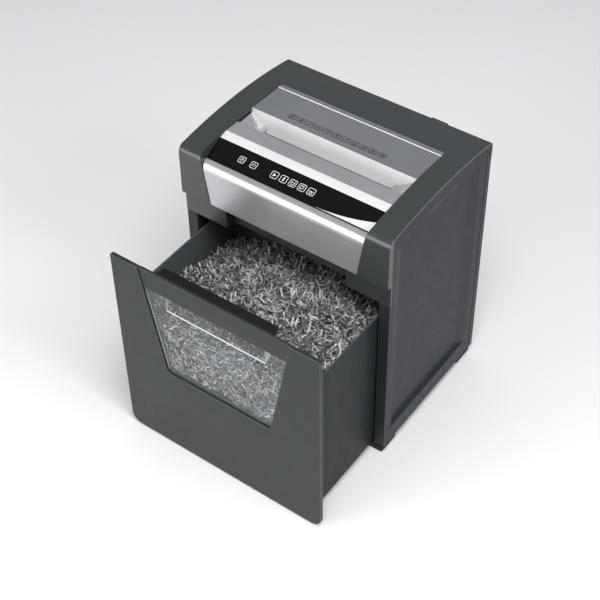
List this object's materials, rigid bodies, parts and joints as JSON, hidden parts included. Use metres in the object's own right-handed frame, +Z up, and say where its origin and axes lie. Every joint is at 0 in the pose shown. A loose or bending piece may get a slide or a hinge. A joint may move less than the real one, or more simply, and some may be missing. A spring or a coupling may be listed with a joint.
{
  "type": "paper shredder",
  "caption": "Deskside cross-cut paper shredder: domed head with a silver feed insert and touch panel over a pull-out bin with a clear window and finger scoop.",
  "frame": {"origin": "on the floor, in the plane of the feet, under the middle of the whole machine with its bin part-way out", "axes": "+Z up, -Y towards the front that the bin pulls out of, +X to the right seen from the front of the machine"},
  "size_m": [0.372, 0.4522, 0.4707],
  "materials": {
    "shell_plastic": "fine matte moulding",
    "wall_plastic": "fine matte moulding",
    "panel_plastic": "fine matte moulding",
    "black_plastic": "matte",
    "black_rubber": "matte",
    "silver_plastic": "satin silver paint",
    "gloss_black": "gloss",
    "lens_clear": "gloss",
    "board_green": "satin",
    "window_clear": "clear",
    "bin_plastic": "matte",
    "shredded_paper": "matte",
    "plate_steel": "zinc plated",
    "cutter_steel": "oiled ground steel",
    "gear_steel": "sintered steel",
    "gear_nylon": "satin",
    "bush_brass": "satin",
    "screw_steel": "black zinc",
    "motor_steel": "satin"
  },
  "bodies": {
    "cabinet": {"top_shell": "shell_plastic", "left_side_wall": "wall_plastic", "right_side_wall": "wall_plastic", "left_side_panel": "panel_plastic", "right_side_panel": "panel_plastic", "back_panel": "wall_plastic", "back_screws": "screw_steel", "base_tray": "black_plastic", "front_feet": "black_rubber", "rear_feet": "black_rubber", "bin_runners": "black_plastic", "rear_deck": "silver_plastic", "feed_throat": "silver_plastic", "front_deck": "silver_plastic", "front_cowl": "silver_plastic", "control_fascia": "gloss_black", "indicator_lenses": "lens_clear", "control_board": "board_green", "key_switches": "black_plastic", "swoosh_trim": "silver_plastic", "mechanism_floor": "black_plastic", "left_cutter_plate": "plate_steel", "right_cutter_plate": "plate_steel", "tie_rods": "plate_steel", "front_comb": "black_plastic", "rear_comb": "black_plastic", "cutter_bushes": "bush_brass", "gear_pins": "plate_steel", "gear_cover": "black_plastic", "frame_screws": "screw_steel", "motor_body": "motor_steel", "motor_end_cap": "black_plastic", "thermal_cutout": "black_plastic", "paper_sensors": "black_plastic", "switch_bezel": "black_plastic", "cord_gland": "black_rubber", "interlock_switch": "black_plastic"},
    "bin": {"bin_front": "shell_plastic", "grip_bar": "shell_plastic", "grip_ledge": "black_plastic", "bin_window": "window_clear", "bin_tub": "bin_plastic", "paper_shreds": "shredded_paper"},
    "front_cutter_roll": {"front_cutter": "cutter_steel", "front_sync_gear": "gear_steel"},
    "rear_cutter_roll": {"rear_cutter": "cutter_steel", "rear_sync_gear": "gear_steel", "final_gear": "gear_steel"},
    "second_reduction": {"second_gear": "gear_nylon"},
    "first_reduction": {"first_gear": "gear_nylon"},
    "rotor": {"motor_rotor": "cutter_steel", "motor_pinion": "bush_brass"},
    "power_button": {"power_key": "gloss_black"},
    "reverse_button": {"reverse_key": "gloss_black"},
    "rocker": {"power_rocker": "gloss_black"},
    "plunger": {"interlock_plunger": "gear_nylon"}
  },
  "joints": [
    {"name": "bin_slide", "type": "slide", "parent": "cabinet", "child": "bin", "axis": [0, -1, 0], "range_m": [-0.1664, 0.085]},
    {"name": "rear_cutter_spin", "type": "hinge", "parent": "cabinet", "child": "rear_cutter_roll", "pos_m": [0, 0.07773, 0.393], "axis": [1, 0, 0], "continuous": true},
    {"name": "front_cutter_spin", "type": "hinge", "parent": "cabinet", "child": "front_cutter_roll", "pos_m": [0, 0.04373, 0.393], "axis": [1, 0, 0], "continuous": true},
    {"name": "second_gear_spin", "type": "hinge", "parent": "cabinet", "child": "second_reduction", "pos_m": [0, 0.11851, 0.41202], "axis": [1, 0, 0], "continuous": true},
    {"name": "first_gear_spin", "type": "hinge", "parent": "cabinet", "child": "first_reduction", "pos_m": [0, 0.14514, 0.39338], "axis": [1, 0, 0], "continuous": true},
    {"name": "rotor_spin", "type": "hinge", "parent": "cabinet", "child": "rotor", "pos_m": [0, 0.16769, 0.40159], "axis": [1, 0, 0], "continuous": true},
    {"name": "power_key_press", "type": "slide", "parent": "cabinet", "child": "power_button", "axis": [0, 0.3101, -0.9507], "range_m": [0, 0.0007], "stiffness_N_per_m": 1200, "springref_m": -0.0004},
    {"name": "reverse_key_press", "type": "slide", "parent": "cabinet", "child": "reverse_button", "axis": [0, 0.3101, -0.9507], "range_m": [0, 0.0007], "stiffness_N_per_m": 1200, "springref_m": -0.0004},
    {"name": "power_rocker_tilt", "type": "hinge", "parent": "cabinet", "child": "rocker", "pos_m": [0.0922, 0.22153, 0.4357], "axis": [1, 0, 0], "range_deg": [0, 16]},
    {"name": "interlock_press", "type": "slide", "parent": "cabinet", "child": "plunger", "axis": [0, 1, 0], "range_m": [0, 0.003], "stiffness_N_per_m": 300, "springref_m": -0.002}
  ],
  "couplings": [
    {"joint": "front_cutter_spin", "follows": "rear_cutter_spin", "ratio": -1},
    {"joint": "second_gear_spin", "follows": "rear_cutter_spin", "ratio": -4},
    {"joint": "first_gear_spin", "follows": "rear_cutter_spin", "ratio": 16},
    {"joint": "rotor_spin", "follows": "rear_cutter_spin", "ratio": -64}
  ]
}
